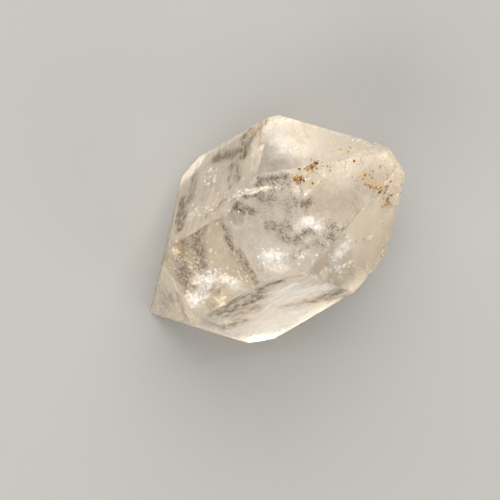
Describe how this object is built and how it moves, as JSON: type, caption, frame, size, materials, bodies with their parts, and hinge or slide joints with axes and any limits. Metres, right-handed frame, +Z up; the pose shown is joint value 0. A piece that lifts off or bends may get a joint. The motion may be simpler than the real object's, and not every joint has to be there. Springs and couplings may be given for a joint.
{
  "type": "herkimer diamond",
  "caption": "Short, doubly terminated quartz crystal with prism faces and pyramid ends, lying on a pyramid face; a mineral specimen to set down, mount or hold.",
  "frame": {"origin": "on the resting face, straight under the crystal's centre", "axes": "+Z up, out of the surface the crystal lies on; +X is the level direction of the long axis, towards its raised end"},
  "size_m": [0.0249, 0.0176, 0.0135],
  "materials": {
    "quartz": "clear, slightly hazy quartz with a faint warm tint and glassy faces",
    "iron_stain": "dull, earthy orange-brown to black iron oxide"
  },
  "bodies": {
    "root": {"crystal": "quartz"}
  },
  "joints": []
}
